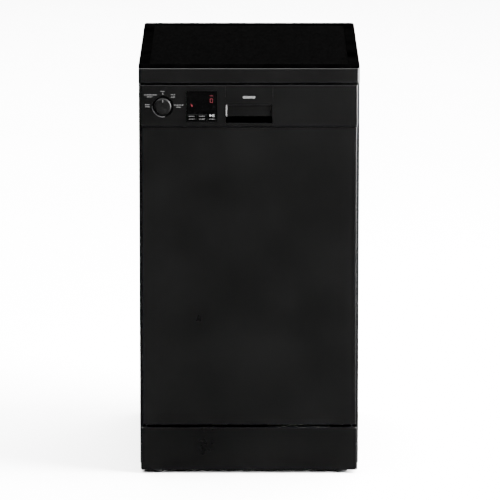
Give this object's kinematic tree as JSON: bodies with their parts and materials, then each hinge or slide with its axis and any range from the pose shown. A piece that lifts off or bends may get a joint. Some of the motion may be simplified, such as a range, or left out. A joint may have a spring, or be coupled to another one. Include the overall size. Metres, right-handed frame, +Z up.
{
  "type": "slimline dishwasher",
  "caption": "Free-standing slimline dishwasher with worktop, plinth, tilting door, programme knob, display, sliding baskets, spray arms and levelling feet.",
  "frame": {"origin": "on the floor, at the middle of the footprint", "axes": "+X to the right of somebody facing the door, +Y from the door to the back, +Z up"},
  "size_m": [0.448, 0.6, 0.85],
  "materials": {
    "charcoal_laminate": "satin laminate",
    "black_trim": "matt moulded",
    "strip_paint": "satin painted moulding",
    "cabinet_paint": "satin powder coat",
    "door_paint": "satin powder coat",
    "rear_paint": "matt",
    "base_plastic": "moulded polypropylene",
    "plinth_paint": "satin powder coat",
    "foot_plastic": "moulded",
    "galvanised": "galvanised",
    "stainless": "brushed",
    "gasket_rubber": "moulded",
    "grey_plastic": "moulded polypropylene",
    "dark_plastic": "moulded",
    "white_plastic": "moulded",
    "blue_plastic": "moulded",
    "fascia_plastic": "satin moulded",
    "knob_plastic": "satin moulded",
    "window_gloss": "polished",
    "board_laminate": "solder mask",
    "basket_wire": "nylon coated",
    "spring_steel": "oiled",
    "hose_rubber": "extruded",
    "pump_plastic": "moulded",
    "screw_steel": "zinc plated",
    "mesh_steel": "perforated"
  },
  "bodies": {
    "cabinet": {"worktop_panel": "charcoal_laminate", "worktop_edge_trims": "black_trim", "worktop_front_strip": "strip_paint", "side_panel_left": "cabinet_paint", "side_panel_right": "cabinet_paint", "rear_panel": "rear_paint", "cabinet_screws": "screw_steel", "base_tray": "base_plastic", "plinth": "plinth_paint", "front_frame": "galvanised", "tub": "stainless", "tub_gasket": "gasket_rubber", "roller_brackets": "stainless", "spray_feed_pipe": "grey_plastic", "fine_filter": "mesh_steel", "sump": "dark_plastic", "circulation_pump": "pump_plastic", "drain_pump": "pump_plastic", "water_softener": "white_plastic", "air_break_chamber": "white_plastic", "inlet_valve": "white_plastic", "drain_outlet": "dark_plastic", "mains_gland": "dark_plastic", "internal_hoses": "hose_rubber", "hinge_brackets": "galvanised", "door_springs": "spring_steel"},
    "door": {"door_panel": "door_paint", "door_liner": "stainless", "control_panel": "fascia_plastic", "display_window": "window_gloss", "control_board": "board_laminate", "handle_insert": "fascia_plastic", "door_latch": "white_plastic", "dispenser_body": "grey_plastic", "hinge_arms": "galvanised"},
    "programme_knob": {"programme_knob": "knob_plastic"},
    "handle_lever": {"handle_lever": "fascia_plastic"},
    "key_half_load": {"key_half_load": "window_gloss"},
    "key_delay_start": {"key_delay_start": "window_gloss"},
    "key_start_pause": {"key_start_pause": "window_gloss"},
    "dispenser_lid": {"dispenser_lid": "grey_plastic"},
    "rinse_aid_cap": {"rinse_aid_cap": "blue_plastic"},
    "upper_spray_arm": {"upper_spray_arm": "grey_plastic"},
    "lower_spray_arm": {"lower_spray_arm": "grey_plastic"},
    "upper_rollers_front": {"upper_rollers_front": "white_plastic"},
    "upper_rollers_rear": {"upper_rollers_rear": "white_plastic"},
    "lower_basket": {"lower_basket": "basket_wire"},
    "lower_wheels_front": {"lower_wheels_front": "grey_plastic"},
    "lower_wheels_rear": {"lower_wheels_rear": "grey_plastic"},
    "cutlery_basket": {"cutlery_basket": "grey_plastic"},
    "folding_tines": {"folding_tines": "basket_wire"},
    "coarse_filter": {"coarse_filter": "mesh_steel"},
    "salt_cap": {"salt_cap": "white_plastic"},
    "foot_front_left": {"foot_front_left": "foot_plastic"},
    "foot_front_right": {"foot_front_right": "foot_plastic"},
    "foot_rear_left": {"foot_rear_left": "foot_plastic"},
    "foot_rear_right": {"foot_rear_right": "foot_plastic"},
    "upper_basket": {"upper_basket": "basket_wire", "upper_rails": "stainless", "basket_feed_tube": "grey_plastic"}
  },
  "joints": [
    {"name": "door_hinge", "type": "hinge", "parent": "cabinet", "child": "door", "pos_m": [0, -0.272, 0.14], "axis": [1, 0, 0], "range_deg": [0, 90], "stiffness_Nm_per_rad": 11, "deforming": ["door_springs"]},
    {"name": "programme_knob_turn", "type": "hinge", "parent": "door", "child": "programme_knob", "pos_m": [-0.1747, -0.29, 0.764], "axis": [0, 1, 0], "continuous": true},
    {"name": "handle_lever_pull", "type": "hinge", "parent": "door", "child": "handle_lever", "pos_m": [0, -0.2895, 0.7635], "axis": [-1, 0, 0], "range_deg": [0, 12], "stiffness_Nm_per_rad": 0.8, "springref_deg": -5.73},
    {"name": "dispenser_lid_slide", "type": "slide", "parent": "door", "child": "dispenser_lid", "axis": [0, 0, 1], "range_m": [0, 0.07]},
    {"name": "rinse_aid_cap_turn", "type": "hinge", "parent": "door", "child": "rinse_aid_cap", "pos_m": [0.042, -0.24, 0.43], "axis": [0, 1, 0], "range_deg": [0, 90]},
    {"name": "upper_basket_slide", "type": "slide", "parent": "cabinet", "child": "upper_basket", "axis": [0, -1, 0], "range_m": [0, 0.3299]},
    {"name": "upper_arm_spin", "type": "hinge", "parent": "upper_basket", "child": "upper_spray_arm", "pos_m": [0, 0.005, 0.492], "axis": [0, 0, 1], "continuous": true},
    {"name": "upper_rollers_front_turn", "type": "hinge", "parent": "cabinet", "child": "upper_rollers_front", "pos_m": [0, -0.222, 0.6], "axis": [1, 0, 0], "range_deg": [0, 1929]},
    {"name": "upper_rollers_rear_turn", "type": "hinge", "parent": "cabinet", "child": "upper_rollers_rear", "pos_m": [0, -0.15, 0.6], "axis": [1, 0, 0], "range_deg": [0, 1929]},
    {"name": "lower_basket_slide", "type": "slide", "parent": "cabinet", "child": "lower_basket", "axis": [0, -1, 0], "range_m": [0, 0.1571]},
    {"name": "lower_wheels_front_turn", "type": "hinge", "parent": "lower_basket", "child": "lower_wheels_front", "pos_m": [0, -0.162, 0.197], "axis": [1, 0, 0], "range_deg": [0, 530]},
    {"name": "lower_wheels_rear_turn", "type": "hinge", "parent": "lower_basket", "child": "lower_wheels_rear", "pos_m": [0, 0.162, 0.197], "axis": [1, 0, 0], "range_deg": [0, 530]},
    {"name": "cutlery_basket_lift", "type": "slide", "parent": "lower_basket", "child": "cutlery_basket", "axis": [0, 0, 1], "range_m": [0, 0.1]},
    {"name": "folding_tines_fold", "type": "hinge", "parent": "lower_basket", "child": "folding_tines", "pos_m": [0.05, 0, 0.2372], "axis": [0, -1, 0], "range_deg": [0, 85]},
    {"name": "lower_arm_spin", "type": "hinge", "parent": "cabinet", "child": "lower_spray_arm", "pos_m": [0, 0.005, 0.194], "axis": [0, 0, 1], "continuous": true},
    {"name": "coarse_filter_turn", "type": "hinge", "parent": "cabinet", "child": "coarse_filter", "pos_m": [-0.062, -0.058, 0.162], "axis": [0, 0, 1], "range_deg": [0, 90]},
    {"name": "salt_cap_turn", "type": "hinge", "parent": "cabinet", "child": "salt_cap", "pos_m": [0.112, -0.12, 0.172], "axis": [0, 0, 1], "range_deg": [0, 540]},
    {"name": "foot_front_left_screw", "type": "slide", "parent": "cabinet", "child": "foot_front_left", "axis": [0, 0, -1], "range_m": [0, 0.02]},
    {"name": "foot_front_right_screw", "type": "slide", "parent": "cabinet", "child": "foot_front_right", "axis": [0, 0, -1], "range_m": [0, 0.02]},
    {"name": "foot_rear_left_screw", "type": "slide", "parent": "cabinet", "child": "foot_rear_left", "axis": [0, 0, -1], "range_m": [0, 0.02]},
    {"name": "foot_rear_right_screw", "type": "slide", "parent": "cabinet", "child": "foot_rear_right", "axis": [0, 0, -1], "range_m": [0, 0.02]},
    {"name": "key_half_load_press", "type": "slide", "parent": "door", "child": "key_half_load", "axis": [0, 1, 0], "range_m": [0, 0.001], "stiffness_N_per_m": 900, "springref_m": -0.0004},
    {"name": "key_delay_start_press", "type": "slide", "parent": "door", "child": "key_delay_start", "axis": [0, 1, 0], "range_m": [0, 0.001], "stiffness_N_per_m": 900, "springref_m": -0.0004},
    {"name": "key_start_pause_press", "type": "slide", "parent": "door", "child": "key_start_pause", "axis": [0, 1, 0], "range_m": [0, 0.001], "stiffness_N_per_m": 900, "springref_m": -0.0004}
  ],
  "couplings": [
    {"joint": "upper_basket_slide", "follows": "door_hinge", "m_per_rad": 0.21},
    {"joint": "lower_basket_slide", "follows": "door_hinge", "m_per_rad": 0.1},
    {"joint": "upper_rollers_front_turn", "follows": "door_hinge", "ratio": 21.429},
    {"joint": "upper_rollers_rear_turn", "follows": "door_hinge", "ratio": 21.429},
    {"joint": "lower_wheels_front_turn", "follows": "door_hinge", "ratio": 5.8823},
    {"joint": "lower_wheels_rear_turn", "follows": "door_hinge", "ratio": 5.8823}
  ]
}
